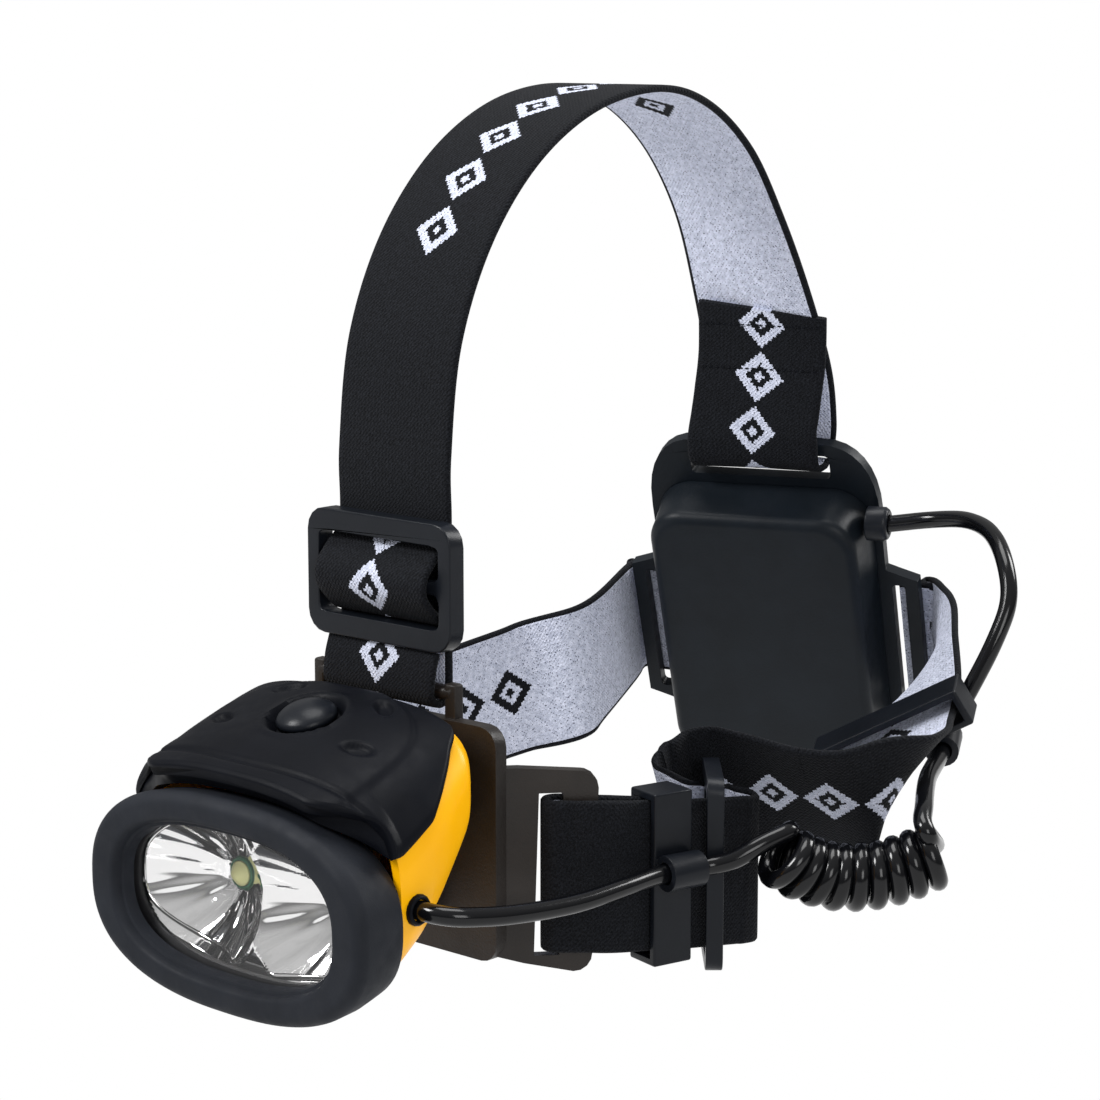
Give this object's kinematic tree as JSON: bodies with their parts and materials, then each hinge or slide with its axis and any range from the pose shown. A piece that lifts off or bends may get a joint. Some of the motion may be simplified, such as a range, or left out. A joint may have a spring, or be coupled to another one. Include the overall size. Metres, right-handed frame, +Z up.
{
  "type": "miner's cap lamp",
  "caption": "Head torch with a tilting twin-reflector lamp on a forehead bracket, elastic straps over and round the head, and a rear battery pack joined by a curly lead.",
  "frame": {"origin": "middle of the flat rear face of the forehead pad, where it rests on the forehead", "axes": "+Y from the forehead into the head, the lamp shines along -Y, +Z up, +X to the wearer's left"},
  "size_m": [0.1407, 0.2112, 0.1712],
  "materials": {
    "bezel_rubber": "matt",
    "soft_touch": "soft-touch satin",
    "yellow_shell": "satin",
    "bracket_plastic": "fine spark texture",
    "buckle_plastic": "satin",
    "case_plastic": "fine texture",
    "webbing": "ribbed elastic weave",
    "foam": "matt",
    "cable_jacket": "gloss",
    "chrome": "mirror",
    "clear_lens": "clear",
    "steel": "plain",
    "board": "solder mask",
    "phosphor": "matt",
    "aluminium": "as extruded",
    "cell_wrap": "printed sleeve",
    "seal": "matt"
  },
  "bodies": {
    "headband": {"forehead_bracket": "bracket_plastic", "hinge_pin": "steel", "pin_clip_left": "steel", "pin_clip_right": "steel", "friction_washer_left": "steel", "friction_washer_right": "steel", "forehead_pad": "foam", "top_strap": "webbing", "strap_flap": "webbing", "strap_loop": "webbing", "left_band_front": "webbing", "left_band_fold": "webbing", "left_band_turn": "webbing", "left_band": "webbing", "right_band": "webbing", "front_keeper": "buckle_plastic", "rear_keeper": "buckle_plastic", "battery_case": "case_plastic", "battery_frame": "case_plastic", "battery_seal": "seal", "lid_pin": "steel", "cell_1": "cell_wrap", "cell_2": "cell_wrap", "cell_3": "cell_wrap", "contact_spring_1": "steel", "contact_spring_2": "steel", "contact_spring_3": "steel", "contact_plate_top": "steel", "contact_plate_bottom": "steel", "battery_gland": "buckle_plastic", "cable_front": "cable_jacket", "cable_coil": "cable_jacket", "cable_rear": "cable_jacket"},
    "lamp": {"lamp_bezel": "bezel_rubber", "lens": "clear_lens", "lens_gasket": "seal", "reflector": "chrome", "led_board": "board", "led_left": "phosphor", "led_right": "phosphor", "heat_sink": "aluminium", "lamp_shell": "yellow_shell", "top_cover": "soft_touch", "button_switch": "steel", "driver_board": "board", "lamp_gland": "soft_touch"},
    "button": {"power_button": "soft_touch"},
    "top_adjuster": {"top_slider": "buckle_plastic", "top_strap_bight": "webbing"},
    "side_adjuster": {"left_slider": "buckle_plastic"},
    "lid": {"battery_lid": "case_plastic"}
  },
  "joints": [
    {"name": "lamp_tilt", "type": "hinge", "parent": "headband", "child": "lamp", "pos_m": [0, -0.015, -0.005], "axis": [1, 0, 0], "range_deg": [0, 45], "deforming": ["cable_front"]},
    {"name": "button_press", "type": "slide", "parent": "lamp", "child": "button", "axis": [0, 0.2924, -0.9563], "range_m": [0, 0.0012], "stiffness_N_per_m": 1500},
    {"name": "top_strap_adjust", "type": "slide", "parent": "headband", "child": "top_adjuster", "axis": [0, 0, 1], "range_m": [0, 0.03], "deforming": ["strap_loop"]},
    {"name": "side_strap_adjust", "type": "slide", "parent": "headband", "child": "side_adjuster", "axis": [0.2588, 0.9659, 0], "range_m": [0, 0.008], "deforming": ["left_band_fold", "left_band_turn"]},
    {"name": "lid_open", "type": "hinge", "parent": "headband", "child": "lid", "pos_m": [-0.01851, 0.15082, -0.00592], "axis": [-0.9272, -0.3746, 0], "range_deg": [0, 100]}
  ]
}
